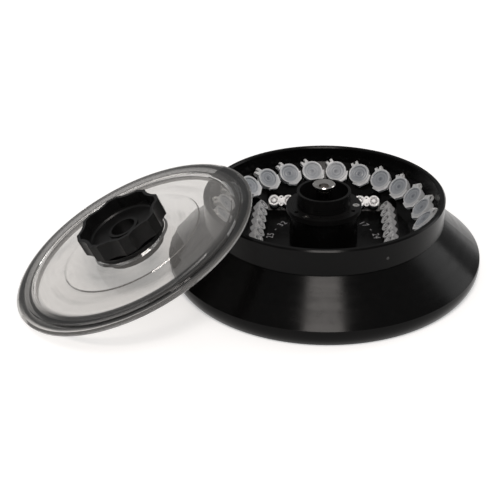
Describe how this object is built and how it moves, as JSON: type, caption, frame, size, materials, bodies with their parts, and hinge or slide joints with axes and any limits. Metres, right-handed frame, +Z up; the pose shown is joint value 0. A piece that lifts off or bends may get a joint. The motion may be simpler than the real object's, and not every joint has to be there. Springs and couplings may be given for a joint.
{
  "type": "fixed angle rotor",
  "caption": "Black anodised fixed-angle microcentrifuge rotor, loaded with closed micro tubes and PCR strips, its clear lid with a black knob taken off and leaning on the rim.",
  "frame": {"origin": "centre of the drive bore's mouth, on the rotor's axis at its base plane", "axes": "+Z up along the rotor axis, +X to the right seen from the front, +Y to the back; the lid lies on the -X side"},
  "size_m": [0.27, 0.2, 0.0575],
  "materials": {
    "anodised": "satin",
    "steel": "brushed",
    "tube_plastic": "translucent",
    "strip_plastic": "translucent",
    "lid_clear": "clear",
    "knob_black": "satin",
    "rubber": "matte"
  },
  "bodies": {
    "rotor": {"rotor_body": "anodised", "lid_collar": "anodised", "collar_screws": "steel", "screw_washer": "steel", "tube_01": "tube_plastic", "tube_02": "tube_plastic", "tube_03": "tube_plastic", "tube_04": "tube_plastic", "tube_05": "tube_plastic", "tube_06": "tube_plastic", "tube_07": "tube_plastic", "tube_08": "tube_plastic", "tube_09": "tube_plastic", "tube_10": "tube_plastic", "tube_11": "tube_plastic", "tube_12": "tube_plastic", "tube_13": "tube_plastic", "tube_14": "tube_plastic", "tube_15": "tube_plastic", "tube_16": "tube_plastic", "tube_17": "tube_plastic", "tube_18": "tube_plastic", "tube_19": "tube_plastic", "tube_20": "tube_plastic", "tube_21": "tube_plastic", "tube_22": "tube_plastic", "tube_23": "tube_plastic", "tube_24": "tube_plastic", "pcr_strip_1": "strip_plastic", "pcr_strip_2": "strip_plastic", "pcr_strip_3": "strip_plastic", "pcr_strip_4": "strip_plastic", "pcr_caps_1": "strip_plastic", "pcr_caps_2": "strip_plastic", "pcr_caps_3": "strip_plastic", "pcr_caps_4": "strip_plastic", "lid_shell": "lid_clear", "lid_seal": "rubber", "knob_gasket": "rubber", "knob_seal": "rubber"},
    "fixing_screw": {"shaft_screw": "steel", "retaining_ring": "steel"},
    "knob": {"lid_knob": "knob_black", "knob_bush": "anodised"}
  },
  "joints": [
    {"name": "fixing_screw_turn", "type": "hinge", "parent": "rotor", "child": "fixing_screw", "pos_m": [0, 0, 0.0485], "axis": [0, 0, 1], "continuous": true},
    {"name": "lid_knob_turn", "type": "hinge", "parent": "rotor", "child": "knob", "pos_m": [-0.10802, -0.03385, 0.02777], "axis": [-0.3606, -0.113, 0.9259], "continuous": true}
  ]
}
